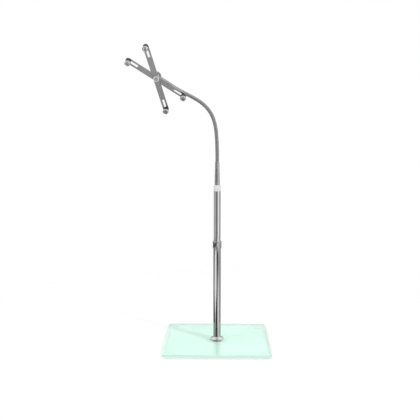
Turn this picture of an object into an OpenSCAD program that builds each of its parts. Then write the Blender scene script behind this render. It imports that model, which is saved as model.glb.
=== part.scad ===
// Adjustable floor stand: a glass base plate carries a telescoping pole, a bendable
// gooseneck and, on a ball joint, a scissor holder with four sliding knobs.
// Millimetres. +Z is up, +X is to the viewer's right and -Y is towards the viewer.
// The origin is on the floor, under the pole's axis.

/* [Base plate] */
// Width of the glass plate, left to right
plate_w = 400; // [300:5:600]
// Depth of the glass plate, front to back
plate_d = 340; // [260:5:600]
// Thickness of the glass
plate_t = 10; // [6:0.5:19]
// Radius of the plate's corners
plate_corner = 20; // [12:1:60]
// Width of the polished bevel round the top edge
bevel_w = 8; // [2:0.5:11]
// Depth of the polished bevel
bevel_h = 1.6; // [0.5:0.1:4]
// Diameter of a rubber foot
foot_dia = 26; // [14:1:40]
// Height of a rubber foot
foot_h = 5; // [5:0.5:15]
// Distance from the plate's edges to a foot's centre
foot_inset = 32; // [22:1:60]

/* [Base clamp] */
// Diameter of the bolt that clamps the pole to the glass
bolt_dia = 8; // [6:0.5:12]
// Length of the bolt above the underside of the glass
bolt_len = 42; // [34:1:52]
// Diameter of the bolt's countersunk head
bolt_head_dia = 14; // [12.5:0.5:22]
// Diameter of the steel washer under the glass
washer_dia = 38; // [30:1:60]
// Thickness of the steel washer
washer_t = 3; // [2:0.1:3.5]
// Thickness of each rubber gasket against the glass
gasket_t = 0.8; // [0.5:0.1:1.4]
// Wall of the plastic bush between bolt and glass
bush_wall = 1.8; // [1:0.1:4]
// Size of the hexagon key that turns the bolt
bolt_key = 5; // [3:0.5:6]
// How far the flared cover spreads out from the pole's foot
flange_spread = 11; // [6:0.5:30]
// Height of the flared cover
flange_h = 10; // [6:0.5:20]
// Height at which the flared cover's curve starts
flange_rim = 1.6; // [1.2:0.1:3]
// Height of the flared cover's upright edge
flange_edge = 1; // [0.4:0.1:1.2]
// Wall of the flared cover at its top
flange_wall = 1.1; // [0.8:0.1:3]
// Length of the threaded plug in the pole's foot
plug_len = 42; // [36:1:80]

/* [Pole] */
// Outside diameter of the lower tube
lower_dia = 30; // [29:0.5:60]
// Wall of the lower tube
lower_wall = 1.2; // [0.8:0.1:1.4]
// Length of the lower tube
lower_len = 370; // [300:5:700]
// Wall of the upper tube
upper_wall = 1.2; // [0.8:0.1:2.5]
// Length of the upper tube
upper_len = 400; // [320:5:560]
// Length of the upper tube that shows above the lock collar
upper_show = 190.6; // [150:0.2:300]
// Wall of the twist-lock collar round the lower tube
collar_wall = 2; // [1.5:0.1:6]
// Height of the twist-lock collar
collar_h = 27.4; // [22:0.2:60]
// Chamfer on the collar's edges
collar_soft = 0.8; // [0.3:0.1:1.4]
// Length of the collar that turns on the lower tube
collar_grip = 13; // [8:0.5:20]
// Height of the split collet inside the collar
collet_h = 9.5; // [6:0.5:12]
// Width of the slit in the collet
collet_slit = 2; // [1:0.5:5]
// Height of the plastic glide at the upper tube's foot
glide_h = 18; // [10:1:40]
// Height of the step that keeps the glide on the upper tube's foot
journal_step = 2.8; // [1.5:0.1:5]
// Length of the foot plug inside the upper tube
spool_len = 24; // [16:1:60]
// Thickness of the flange that carries the glide
spool_flange = 3; // [2:0.5:6]
// Diameter of the pin that holds the foot plug
pin_dia = 3; // [2:0.5:5]

/* [Gooseneck] */
// Height of the pale adapter between pole and gooseneck
adapter_h = 22.5; // [20:0.5:60]
// Length of the adapter inside the upper tube
adapter_plug = 20; // [12:1:60]
// How far the adapter stands proud of the upper tube
adapter_lip = 0.4; // [0.1:0.1:3]
// Diameter of the gooseneck
neck_dia = 14; // [12:0.5:20]
// Length of the gooseneck below its first bending point
root_len = 98.5; // [70:0.5:160]
// Depth of the gooseneck's socket in the adapter
root_seat = 18; // [10:0.5:20]
// Diameter of the set screw in the adapter
set_screw_dia = 4; // [3:0.5:6]
// Size of the hexagon key that turns the set screw
set_screw_key = 2; // [1.3:0.1:2.4]
// Length of the tapered sleeve at the gooseneck's root
ferrule_len = 86; // [30:1:90]
// Wall of the tapered sleeve at its foot
ferrule_foot = 3; // [1.5:0.1:5]
// Wall of the tapered sleeve at its top
ferrule_wall = 0.9; // [0.6:0.1:1.8]
// Length of gooseneck from one bending point to the next
link_len = 48; // [40:1:70]
// Bend of each length to the viewer's left, in degrees
link_bends = [2, 3, 13, 23, 19, 4, -6]; // [-25:1:25]
// Wall of the socket at each bending point
knuckle_wall = 1.7; // [1.2:0.1:2.2]
// How far each socket reaches back over its ball
knuckle_rim = 1.2; // [0.8:0.1:1.6]
// How far each bending point turns to either side, in degrees
bend_limit = 15; // [8:1:16]

/* [Ball joint] */
// Side wall of the sleeve on the gooseneck's tip
tip_side = 2.5; // [1:0.1:5]
// Length of gooseneck inside the tip sleeve
tip_grip = 16; // [10:0.5:24]
// Thickness of the tip sleeve's front wall
tip_wall = 8; // [5:0.5:12]
// Diameter of the spigot that the ball housing turns on
spigot_dia = 10; // [8:0.5:12]
// Length of that spigot
spigot_len = 8; // [6:0.5:10]
// Width of the groove round that spigot
groove_w = 2.4; // [2.2:0.1:3.5]
// Depth of the groove round that spigot
groove_d = 1; // [0.6:0.1:1.5]
// Diameter of the grub screw that runs in the groove
grub_dia = 2; // [1.5:0.1:2]
// Diameter of the ball
ball_dia = 18; // [16:0.5:22]
// Wall of the ball housing round the ball
housing_wall = 3.7; // [2.5:0.1:8]
// Distance from the tip sleeve to the ball's centre
ball_reach = 22; // [20:0.5:30]
// How far the housing reaches past the ball's centre
cup_rise = 1; // [0.5:0.1:2]
// Wall of the lock ring over the housing
ring_wall = 2; // [1.2:0.1:5]
// Chamfer on the lock ring's edges
ring_soft = 0.7; // [0.3:0.1:1.1]
// Length of lock ring that screws over the housing
ring_grip = 9; // [5:0.5:12]
// Angle from the ball's axis to the edge of the ring's lip, in degrees
ring_lip_angle = 66; // [62:1:74]
// How far the holder leans towards the viewer, in degrees
lean = 27; // [-20:1:38]

/* [Holder] */
// Diameter of the stud through the two arms
stud_dia = 6; // [5:0.5:6.5]
// Distance from the ball's centre to the front of the stud's flange
stud_reach = 18; // [16:0.5:30]
// Diameter of the stud's flange
stud_flange_dia = 22; // [16:1:24]
// Thickness of the stud's flange
stud_flange_t = 3; // [2:0.5:4]
// How far the pivot washers stay back from the flange's rim
washer_inset = 1; // [0:0.5:2]
// Thickness of each plastic pivot washer
pivot_washer_t = 0.8; // [0.4:0.1:1.5]
// Size of the pivot nut across its flats
nut_flats = 10; // [9:0.5:14]
// Thickness of the pivot nut
nut_t = 3; // [2:0.5:4]
// Width of an arm
arm_w = 20; // [16:1:26]
// Thickness of an arm
arm_t = 3.5; // [2:0.5:5]
// Distance from the pivot to a rear arm's knob
rear_reach = 111; // [106:1:150]
// Distance from the pivot to a front arm's knob
front_reach = 117; // [106:1:150]
// Direction of the rear arm, in degrees from the viewer's right
rear_angle = 145; // [120:1:170]
// Direction of the front arm, in degrees from the viewer's right
front_angle = 104; // [60:1:110]
// How far a knob slides inwards along its arm
knob_travel = 34; // [10:1:36]
// Wall of the guide round a peg's stem, in the arm's slot
guide_wall = 0.9; // [0.3:0.1:1.5]
// Gap between a grip's seat and its knob
grip_gap = 11; // [8:0.5:16]
// Height of the grips' seats above the front arm
seat_h = 5.4; // [4.6:0.2:10]
// How far a grip's seat stands out round its sleeve
seat_lip = 4; // [2:0.5:5]
// Diameter of a grip's sleeve
grip_dia = 9; // [7:0.5:12]
// Diameter of a peg's thread
peg_dia = 5; // [4:0.5:5]
// Size of a peg's square head
peg_head = 15; // [10:0.5:18]
// Thickness of a peg's square head
peg_head_t = 2.6; // [2:0.1:2.8]
// Diameter of a knob
knob_dia = 20; // [16:0.5:26]
// Height of a knob
knob_h = 6.5; // [5:0.5:10]
// Diameter of the hollow in a knob's face
hollow_dia = 6.8; // [6:0.2:9]
// How deep the end of a peg lies below the top of its knob
peg_sink = 1.6; // [0.5:0.1:2.5]

/* [Clearances] */
// Gap round a part that turns or slides in its bearing
fit_gap = 0.05; // [0.02:0.01:0.1]
// Gap between parts that pass each other freely
free_gap = 0.3; // [0.2:0.05:0.5]
// Gap on each side of a sliding peg
slide_gap = 0.2; // [0.1:0.05:0.3]
// Room above the collet and behind a bent joint's rim
spare_gap = 0.6; // [0.4:0.1:1]

/* [Hidden] */
$fn = 64;

// How far a cutting shape reaches past the face it cuts
over = 1;
// Angle between points on a turned curve
curve_step = 10;

// Heights of the base stack
glass_z = foot_h;
glass_top = glass_z + plate_t;
washer_z = glass_z - gasket_t - washer_t;
pole_z = glass_top + gasket_t;
bush_dia = bolt_dia + 2 * fit_gap + 2 * bush_wall;
glass_hole = bush_dia + 2 * fit_gap;
flange_dia = lower_dia + 2 * flange_spread;

// Pole
lower_bore = lower_dia - 2 * lower_wall;
upper_dia = lower_bore - 2 * free_gap;
upper_bore = upper_dia - 2 * upper_wall;
lower_top = pole_z + lower_len;
collar_z = lower_top - collar_grip;
collar_top = collar_z + collar_h;
collar_dia = lower_dia + 2 * collar_wall;
upper_top = collar_top + upper_show;
upper_z = upper_top - upper_len;
journal_dia = upper_bore - 2 * journal_step;
glide_z = upper_z - free_gap - glide_h;
spool_z = glide_z - free_gap - spool_flange;
pin_z = upper_z + spool_len / 2;

// Gooseneck
adapter_top = upper_top + adapter_h;
adapter_dia = upper_dia + 2 * adapter_lip;
ferrule_dia = neck_dia + 2 * ferrule_foot;
neck_z = adapter_top + root_len;
socket_dia = neck_dia - 2 * knuckle_wall;
knuckle_dia = socket_dia - 2 * free_gap;
knuckle_back = knuckle_rim + neck_dia / 2 * sin(bend_limit) + 2 * spare_gap;
side_links = len(link_bends);
front_links = 2;
last_link = side_links + front_links - 1;
front_bend = 90 / front_links;
function link_turn(i) = i < side_links ? link_bends[i] : front_bend;
function link_dir(i) = i >= side_links ? -90 : link_bends[i] < 0 ? 0 : 180;
function link_r(i) = link_len * 180 / PI / abs(link_turn(i));
function arc_angle(i, s) = s / link_r(i) * 180 / PI;
function add_up(v, i = 0) = i < len(v) ? v[i] + add_up(v, i + 1) : 0;

// Ball joint
tip_dia = neck_dia + 2 * tip_side;
tip_bore = neck_dia + 2 * fit_gap;
housing_z = tip_wall + free_gap;
ball_z = tip_wall + ball_reach;
ball_cup = ball_dia + 2 * free_gap;
housing_dia = ball_cup + 2 * housing_wall;
ring_dia = housing_dia + 2 * ring_wall;
housing_front = ball_z + cup_rise;
ring_bore = housing_dia + 2 * fit_gap;
ring_z = housing_front - ring_grip;
ring_seat_z = housing_front + free_gap;
ring_front = ball_z + ball_cup / 2 * cos(ring_lip_angle);
groove_z = tip_wall + spigot_len / 2;

// Holder, measured forwards from the stud's flange
arm_bore = stud_dia + 2 * fit_gap;
rear_z = pivot_washer_t;
mid_washer_z = rear_z + arm_t;
front_z = mid_washer_z + pivot_washer_t;
nut_washer_z = front_z + arm_t;
nut_z = nut_washer_z + pivot_washer_t;
stud_end = nut_z + nut_t + free_gap;
seat_z = front_z + arm_t + seat_h;
knob_z = seat_z + grip_gap;
peg_end = knob_z + knob_h - peg_sink;
guide_dia = peg_dia + 2 * guide_wall;
slot_w = guide_dia + 2 * slide_gap;
seat_dia = grip_dia + 2 * seat_lip;

// Shared shapes

// Round ring between two radii
module ring(r_in, r_out, h) {
    difference() {
        cylinder(r = r_out, h = h);
        translate([0, 0, -over]) cylinder(r = r_in, h = h + 2 * over);
    }
}

// Bar with round ends from one end centre to the other along X
module stadium(x0, x1, w, h) {
    translate([x0, -w / 2, 0]) cube([x1 - x0, w, h]);
    translate([x0, 0, 0]) cylinder(d = w, h = h);
    translate([x1, 0, 0]) cylinder(d = w, h = h);
}

// Puts its children at the four corners of a rectangle
module at_corners(x, y) {
    for (sx = [-1, 1], sy = [-1, 1])
        translate([sx * x, sy * y, 0]) children();
}

// Goes from the start of gooseneck length i to its end
module link_step(i) {
    a = abs(link_turn(i));
    if (a == 0)
        translate([0, 0, link_len]) children();
    else
        rotate([0, 0, link_dir(i)])
            translate([link_r(i), 0, 0])
                rotate([0, a, 0])
                    translate([-link_r(i), 0, 0])
                        rotate([0, 0, -link_dir(i)]) children();
}

// Puts its children at the start of gooseneck length i
module at_link(i) {
    if (i == 0)
        translate([0, 0, neck_z]) children();
    else
        at_link(i - 1) link_step(i - 1) children();
}

// Gooseneck rod of length i from distance s0 to s1 along it
module link_rod(i, s0, s1) {
    a = abs(link_turn(i));
    if (a == 0)
        translate([0, 0, s0]) cylinder(d = neck_dia, h = s1 - s0);
    else
        rotate([0, 0, link_dir(i)])
            translate([link_r(i), 0, 0])
                rotate(180, [0, 1, 1])
                    rotate([0, 0, arc_angle(i, s0)])
                        rotate_extrude(angle = arc_angle(i, s1 - s0))
                            translate([link_r(i), 0]) circle(d = neck_dia);
}

// One bending length: a socket at its start, and a ball or the plain tip at its end
module neck_link(i) {
    is_last = i == last_link;
    color("darkgray")
        at_link(i) {
            difference() {
                link_rod(i, -knuckle_rim, is_last ? link_len : link_len - knuckle_back);
                sphere(d = socket_dia);
            }
            link_step(i)
                if (is_last)
                    translate([0, 0, -over]) cylinder(d = neck_dia - 2 * fit_gap, h = tip_grip + over);
                else
                    sphere(d = knuckle_dia);
        }
}

// Frame at the gooseneck's tip: X to the right, Y up and Z to the front
module at_tip() {
    at_link(last_link) link_step(last_link) translate([0, 0, tip_grip])
        rotate([0, 0, -add_up(link_bends)]) children();
}

// Frame of the holder: X to the right, Y up along the lean and Z out of its front
module at_holder() {
    at_tip() translate([0, 0, ball_z]) rotate([lean, 0, 0]) translate([0, 0, stud_reach]) children();
}

// Flat arm with a pivot hole in its middle and a slot in each half
module arm(z, reach, angle) {
    color("gainsboro")
        at_holder() translate([0, 0, z]) rotate([0, 0, angle])
            difference() {
                stadium(-reach, reach, arm_w, arm_t);
                translate([0, 0, -over]) cylinder(d = arm_bore, h = arm_t + 2 * over);
                for (s = [0, 180])
                    rotate([0, 0, s]) translate([0, 0, -over])
                        stadium(reach - knob_travel, reach, slot_w, arm_t + 2 * over);
            }
}

// Puts its children at a peg, with X along its arm
module at_peg(reach, angle) {
    at_holder() rotate([0, 0, angle]) translate([reach, 0, 0]) children();
}

// Sliding peg: a square head behind the arm, a guide in the slot and a threaded stem
module peg(z, reach, angle) {
    color("silver")
        at_peg(reach, angle) {
            translate([-peg_head / 2, -peg_head / 2, z - slide_gap - peg_head_t])
                cube([peg_head, peg_head, peg_head_t]);
            translate([0, 0, z - slide_gap]) cylinder(d = guide_dia, h = arm_t);
            translate([0, 0, z]) cylinder(d = peg_dia, h = peg_end - z);
        }
}

// Rubber grip: a round seat and a sleeve round the peg, up to the knob
module grip(z, reach, angle) {
    foot = z + arm_t + slide_gap;
    color("dimgray")
        at_peg(reach, angle)
            difference() {
                union() {
                    translate([0, 0, foot]) cylinder(d = seat_dia, h = seat_z - foot);
                    translate([0, 0, foot]) cylinder(d = grip_dia, h = knob_z - slide_gap - foot);
                }
                translate([0, 0, foot - over])
                    cylinder(d = peg_dia + 2 * fit_gap, h = knob_z - foot + 2 * over);
            }
}

// Round domed knob with a hollow in its face round the end of the peg
module knob(reach, angle) {
    r = knob_dia / 2;
    hollow_r = hollow_dia / 2;
    soft = knob_h / 8;
    waist = knob_h / 2;
    dome_turn = 60;
    color("whitesmoke")
        at_peg(reach, angle) translate([0, 0, knob_z])
            difference() {
                rotate_extrude()
                    polygon(concat(
                        [[0, 0]],
                        [for (a = [0:curve_step:90]) [r - soft + soft * sin(a), soft - soft * cos(a)]],
                        [for (a = [0:curve_step:dome_turn])
                            [hollow_r + (r - hollow_r) * cos(a), waist + waist * sin(a) / sin(dome_turn)]],
                        [[0, knob_h]]
                    ));
                translate([0, 0, -over]) cylinder(d = peg_dia + 2 * fit_gap, h = knob_h + 2 * over);
                translate([0, 0, waist]) cylinder(r = hollow_r, h = knob_h);
            }
}

// Base

// Slab of glass with round corners and a bevel round its top edge
module glass_plate() {
    x = plate_w / 2 - plate_corner;
    y = plate_d / 2 - plate_corner;
    side_h = plate_t - bevel_h;
    color("honeydew")
        difference() {
            translate([0, 0, glass_z]) {
                linear_extrude(side_h) {
                    square([2 * x, plate_d], center = true);
                    square([plate_w, 2 * y], center = true);
                    at_corners(x, y) circle(r = plate_corner);
                }
                translate([0, 0, side_h]) {
                    bevel_prism(x, plate_d / 2);
                    rotate([0, 0, 90]) bevel_prism(y, plate_w / 2);
                    at_corners(x, y)
                        cylinder(r1 = plate_corner, r2 = plate_corner - bevel_w, h = bevel_h);
                }
            }
            translate([0, 0, glass_z - over]) cylinder(d = glass_hole, h = plate_t + 2 * over);
        }
}

// Ridge of the bevelled slab along X, with sloping sides
module bevel_prism(x, half) {
    rotate([90, 0, 90]) translate([0, 0, -x])
        linear_extrude(2 * x)
            polygon([[-half, 0], [half, 0], [half - bevel_w, bevel_h], [bevel_w - half, bevel_h]]);
}

// Four clear rubber feet under the plate's corners
module rubber_feet() {
    color("lightgray")
        at_corners(plate_w / 2 - foot_inset, plate_d / 2 - foot_inset)
            cylinder(d = foot_dia, h = foot_h);
}

// Rubber ring between the clamp washer and the glass
module under_gasket() {
    color("dimgray")
        translate([0, 0, glass_z - gasket_t]) ring(bush_dia / 2, washer_dia / 2, gasket_t);
}

// Steel disc that spreads the bolt's load, countersunk from below
module clamp_washer() {
    color("silver")
        translate([0, 0, washer_z])
            difference() {
                cylinder(d = washer_dia, h = washer_t);
                translate([0, 0, -over]) cylinder(d = bolt_dia + 2 * fit_gap, h = washer_t + 2 * over);
                bolt_head(2 * fit_gap);
            }
}

// Countersunk head that fills the clamp washer, grown by a gap
module bolt_head(gap) {
    cylinder(d1 = bolt_head_dia + gap, d2 = bolt_dia + gap, h = washer_t);
}

// Countersunk bolt up into the plug of the pole
module base_bolt() {
    color("silver")
        difference() {
            union() {
                translate([0, 0, washer_z]) bolt_head(0);
                translate([0, 0, washer_z]) cylinder(d = bolt_dia, h = washer_t + gasket_t + bolt_len);
            }
            translate([0, 0, washer_z - over]) cylinder(d = bolt_key / cos(30), h = washer_t, $fn = 6);
        }
}

// Plastic sleeve between the bolt and the hole in the glass
module glass_bush() {
    color("white")
        translate([0, 0, glass_z]) ring(bolt_dia / 2 + fit_gap, bush_dia / 2, plate_t);
}

// Rubber ring under the flared cover and the pole
module flange_gasket() {
    color("dimgray")
        translate([0, 0, glass_top]) ring(bolt_dia / 2 + fit_gap, flange_dia / 2 - flange_rim, gasket_t);
}

// Flared cover round the foot of the pole
module base_flange() {
    r_in = lower_dia / 2 + fit_gap;
    r_top = r_in + flange_wall;
    r_out = flange_dia / 2;
    r_rim = r_out + flange_edge - flange_rim;
    rise = flange_h - flange_rim;
    color("silver")
        translate([0, 0, pole_z])
            rotate_extrude()
                polygon(concat(
                    [[r_in, 0], [r_out, 0], [r_out, flange_edge]],
                    [for (a = [0:curve_step:90])
                        [r_rim - (r_rim - r_top) * sin(a), flange_rim + rise * (1 - cos(a))]],
                    [[r_in, flange_h]]
                ));
}

// Steel plug in the pole's foot, with the thread for the bolt
module pole_plug() {
    color("silver")
        translate([0, 0, pole_z])
            difference() {
                cylinder(d = lower_bore - 2 * fit_gap, h = plug_len);
                translate([0, 0, -over])
                    cylinder(d = bolt_dia + 2 * fit_gap, h = bolt_len - plate_t + 2 * over);
            }
}

// Lower tube of the pole
module lower_pole() {
    color("silver")
        translate([0, 0, pole_z]) ring(lower_bore / 2, lower_dia / 2, lower_len);
}

// Split plastic ring that grips the upper tube when the collar is turned
module collet() {
    color("whitesmoke")
        translate([0, 0, lower_top])
            difference() {
                ring(upper_dia / 2 + fit_gap, lower_dia / 2, collet_h);
                translate([0, -collet_slit / 2, -over]) cube([lower_dia, collet_slit, collet_h + 2 * over]);
            }
}

// Collar that turns on the lower tube to lock the upper one
module lock_collar() {
    r = collar_dia / 2;
    room_h = collar_grip + collet_h + spare_gap;
    color("silver")
        translate([0, 0, collar_z])
            difference() {
                rotate_extrude()
                    polygon([
                        [0, 0], [r - collar_soft, 0], [r, collar_soft], [r, collar_h - collar_soft],
                        [r - collar_soft, collar_h], [0, collar_h]
                    ]);
                translate([0, 0, -over]) cylinder(d = lower_dia + 2 * fit_gap, h = room_h + over);
                translate([0, 0, -over]) cylinder(d = upper_dia + 2 * free_gap, h = collar_h + 2 * over);
            }
}

// Plastic ring that slides in the lower tube and turns on the upper tube's foot
module pole_glide() {
    color("whitesmoke")
        translate([0, 0, glide_z]) ring(journal_dia / 2 + fit_gap, lower_bore / 2 - fit_gap, glide_h);
}

// Upper tube of the pole
module upper_pole() {
    color("silver")
        difference() {
            translate([0, 0, upper_z]) ring(upper_bore / 2, upper_dia / 2, upper_len);
            spool_pin_hole();
        }
}

// Cross hole for the pin that holds the foot plug
module spool_pin_hole() {
    translate([0, 0, pin_z]) rotate([90, 0, 0])
        cylinder(d = pin_dia + 2 * fit_gap, h = lower_dia, center = true);
}

// Foot plug of the upper tube, with the journal and the flange that carry the glide
module pole_spool() {
    color("whitesmoke")
        difference() {
            union() {
                translate([0, 0, upper_z]) cylinder(d = upper_bore - 2 * fit_gap, h = spool_len);
                translate([0, 0, spool_z]) cylinder(d = journal_dia, h = upper_z - spool_z);
                translate([0, 0, spool_z]) cylinder(d = upper_bore, h = spool_flange);
            }
            spool_pin_hole();
        }
}

// Pin through the upper tube and its foot plug
module spool_pin() {
    color("gray")
        translate([0, 0, pin_z]) rotate([90, 0, 0])
            cylinder(d = pin_dia, h = upper_dia - upper_wall, center = true);
}

// Gooseneck

// Pale adapter plugged into the upper tube, bored for the gooseneck's root
module neck_adapter() {
    color("white")
        difference() {
            union() {
                translate([0, 0, upper_top]) cylinder(d = adapter_dia, h = adapter_h);
                translate([0, 0, upper_top - adapter_plug])
                    cylinder(d = upper_bore - 2 * fit_gap, h = adapter_plug + over);
            }
            translate([0, 0, adapter_top - root_seat])
                cylinder(d = neck_dia + 2 * fit_gap, h = root_seat + over);
            set_screw_axis() cylinder(d = set_screw_dia + 2 * fit_gap, h = adapter_dia);
        }
}

// Axis of the set screw, from the gooseneck out to the back of the adapter
module set_screw_axis() {
    translate([0, neck_dia / 2 + fit_gap, adapter_top - root_seat / 2]) rotate([-90, 0, 0]) children();
}

// Set screw in the back of the adapter
module neck_set_screw() {
    screw_len = (adapter_dia - neck_dia) / 2 - adapter_lip - fit_gap;
    color("dimgray")
        set_screw_axis()
            difference() {
                cylinder(d = set_screw_dia, h = screw_len);
                translate([0, 0, screw_len - set_screw_key])
                    cylinder(d = set_screw_key / cos(30), h = screw_len, $fn = 6);
            }
}

// Tapered sleeve round the gooseneck's root
module neck_ferrule() {
    color("silver")
        translate([0, 0, adapter_top])
            difference() {
                cylinder(d1 = ferrule_dia, d2 = neck_dia + 2 * ferrule_wall, h = ferrule_len);
                translate([0, 0, -over]) cylinder(d = neck_dia + 2 * fit_gap, h = ferrule_len + 2 * over);
            }
}

// Straight root of the gooseneck, up to the ball of its first bending point
module neck_root() {
    color("darkgray") {
        translate([0, 0, adapter_top - root_seat])
            cylinder(d = neck_dia, h = root_seat + root_len - knuckle_back);
        translate([0, 0, neck_z]) sphere(d = knuckle_dia);
    }
}

// The nine bending lengths, from the root to the tip
module neck_link_1() { neck_link(0); }
module neck_link_2() { neck_link(1); }
module neck_link_3() { neck_link(2); }
module neck_link_4() { neck_link(3); }
module neck_link_5() { neck_link(4); }
module neck_link_6() { neck_link(5); }
module neck_link_7() { neck_link(6); }
module neck_link_8() { neck_link(7); }
module neck_link_9() { neck_link(8); }

// Ball joint

// Sleeve on the gooseneck's tip, with the grooved spigot for the ball housing
module tip_ferrule() {
    color("silver")
        at_tip()
            difference() {
                union() {
                    translate([0, 0, -tip_grip]) cylinder(d = tip_dia, h = tip_grip + tip_wall);
                    cylinder(d = spigot_dia, h = tip_wall + spigot_len);
                }
                translate([0, 0, -tip_grip - over]) cylinder(d = tip_bore, h = tip_grip + over);
                translate([0, 0, groove_z - groove_w / 2])
                    ring(spigot_dia / 2 - groove_d, spigot_dia, groove_w);
            }
}

// Axis of the grub screw, from the spigot's groove out to the housing's underside
module grub_axis() {
    translate([0, -spigot_dia / 2 + groove_d / 2, groove_z]) rotate([90, 0, 0]) children();
}

// Housing that turns on the spigot and holds the ball in its cup
module ball_housing() {
    color("silver")
        at_tip()
            difference() {
                translate([0, 0, housing_z]) cylinder(d = housing_dia, h = housing_front - housing_z);
                translate([0, 0, tip_wall])
                    cylinder(d = spigot_dia + 2 * fit_gap, h = spigot_len + free_gap);
                translate([0, 0, ball_z]) sphere(d = ball_cup);
                translate([0, 0, ball_z]) cylinder(d = ball_cup, h = ball_cup);
                grub_axis() cylinder(d = grub_dia + 2 * fit_gap, h = housing_dia);
            }
}

// Grub screw that keeps the housing on the spigot
module housing_grub() {
    color("dimgray")
        at_tip() grub_axis() cylinder(d = grub_dia, h = (housing_dia - spigot_dia) / 2);
}

// Ring that screws over the housing and clamps the ball with its lip
module ball_lock_ring() {
    r = ring_dia / 2;
    ring_h = ring_front - ring_z;
    color("silver")
        at_tip()
            difference() {
                translate([0, 0, ring_z])
                    rotate_extrude()
                        polygon([
                            [0, 0], [r - ring_soft, 0], [r, ring_soft], [r, ring_h - ring_soft],
                            [r - ring_soft, ring_h], [0, ring_h]
                        ]);
                translate([0, 0, ring_z - over]) cylinder(d = ring_bore, h = ring_seat_z - ring_z + over);
                translate([0, 0, ball_z]) sphere(d = ball_cup);
            }
}

// Ball with its stud and the flange that carries the arms
module ball_stud() {
    color("silver")
        at_holder() {
            translate([0, 0, -stud_reach]) sphere(d = ball_dia);
            translate([0, 0, -stud_reach]) cylinder(d = stud_dia, h = stud_reach + stud_end);
            translate([0, 0, -stud_flange_t]) cylinder(d = stud_flange_dia, h = stud_flange_t);
        }
}

// Plastic washers behind, between and in front of the two arms
module pivot_washers() {
    color("whitesmoke")
        at_holder()
            for (z = [0, mid_washer_z, nut_washer_z])
                translate([0, 0, z])
                    ring(arm_bore / 2, stud_flange_dia / 2 - washer_inset, pivot_washer_t);
}

// Low nut on the front of the stud
module pivot_nut() {
    color("silver")
        at_holder() translate([0, 0, nut_z])
            difference() {
                cylinder(d = nut_flats / cos(30), h = nut_t, $fn = 6);
                translate([0, 0, -over]) cylinder(d = arm_bore, h = nut_t + 2 * over);
            }
}

// Holder

module arm_rear() { arm(rear_z, rear_reach, rear_angle); }
module arm_front() { arm(front_z, front_reach, front_angle); }
module peg_left() { peg(rear_z, rear_reach, rear_angle); }
module peg_right() { peg(rear_z, rear_reach, rear_angle + 180); }
module peg_top() { peg(front_z, front_reach, front_angle); }
module peg_bottom() { peg(front_z, front_reach, front_angle + 180); }
module grip_left() { grip(rear_z, rear_reach, rear_angle); }
module grip_right() { grip(rear_z, rear_reach, rear_angle + 180); }
module grip_top() { grip(front_z, front_reach, front_angle); }
module grip_bottom() { grip(front_z, front_reach, front_angle + 180); }
module knob_left() { knob(rear_reach, rear_angle); }
module knob_right() { knob(rear_reach, rear_angle + 180); }
module knob_top() { knob(front_reach, front_angle); }
module knob_bottom() { knob(front_reach, front_angle + 180); }

glass_plate();
rubber_feet();
under_gasket();
clamp_washer();
base_bolt();
glass_bush();
flange_gasket();
base_flange();
pole_plug();
lower_pole();
collet();
lock_collar();
pole_glide();
upper_pole();
pole_spool();
spool_pin();
neck_adapter();
neck_set_screw();
neck_ferrule();
neck_root();
neck_link_1();
neck_link_2();
neck_link_3();
neck_link_4();
neck_link_5();
neck_link_6();
neck_link_7();
neck_link_8();
neck_link_9();
tip_ferrule();
ball_housing();
housing_grub();
ball_lock_ring();
ball_stud();
pivot_washers();
pivot_nut();
arm_rear();
arm_front();
peg_left();
peg_right();
peg_top();
peg_bottom();
grip_left();
grip_right();
grip_top();
grip_bottom();
knob_left();
knob_right();
knob_top();
knob_bottom();
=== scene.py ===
# Floor stand with a bevelled glass base, a telescoping chrome pole, a spiral gooseneck and a scissor holder.
import math

import bmesh
import bpy
from mathutils import Matrix, Vector


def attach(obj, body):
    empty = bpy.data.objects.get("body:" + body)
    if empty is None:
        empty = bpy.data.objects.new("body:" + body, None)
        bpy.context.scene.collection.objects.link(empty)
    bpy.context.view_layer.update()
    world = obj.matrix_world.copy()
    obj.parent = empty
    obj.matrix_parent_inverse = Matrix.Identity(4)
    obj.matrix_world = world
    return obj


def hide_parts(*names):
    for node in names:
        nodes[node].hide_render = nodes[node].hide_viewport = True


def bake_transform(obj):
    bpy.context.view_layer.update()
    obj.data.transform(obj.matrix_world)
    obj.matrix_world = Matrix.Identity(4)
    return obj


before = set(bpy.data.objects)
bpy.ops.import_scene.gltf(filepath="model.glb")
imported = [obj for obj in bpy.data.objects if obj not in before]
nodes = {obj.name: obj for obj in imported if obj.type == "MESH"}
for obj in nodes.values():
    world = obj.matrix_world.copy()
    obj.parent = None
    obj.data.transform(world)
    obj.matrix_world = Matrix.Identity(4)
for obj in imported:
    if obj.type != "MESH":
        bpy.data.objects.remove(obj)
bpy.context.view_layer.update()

# Sizes in millimetres, as in the part's source
MM = 0.001
FIT, SLIDE = 0.05, 0.2

# Glass plate and its feet
PLATE_W, PLATE_D, PLATE_CORNER = 400.0, 340.0, 20.0
GLASS_Z, GLASS_TOP, GLASS_HOLE_R = 5.0, 15.0, 5.9
BEVEL_W, BEVEL_H = 8.0, 1.6
FOOT_R, FOOT_H, FOOT_INSET = 13.0, 5.0, 32.0

# Pole
POLE_Z, LOWER_TOP, LOWER_R, LOWER_BORE = 15.8, 385.8, 15.0, 13.8
FLANGE_R, FLANGE_RIM_R, FLANGE_TOP_R, FLANGE_H, FLANGE_RIM = 26.0, 25.4, 16.15, 10.0, 1.6
COLLAR_Z, COLLAR_H, COLLAR_R, COLLAR_ROOM = 372.8, 27.4, 17.0, 23.1
UPPER_Z, UPPER_TOP, UPPER_R, UPPER_BORE = 190.8, 590.8, 13.5, 12.3
ADAPTER_TOP, ADAPTER_R, ADAPTER_PLUG, SET_SCREW_R = 613.3, 13.9, 20.0, 2.0

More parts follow.
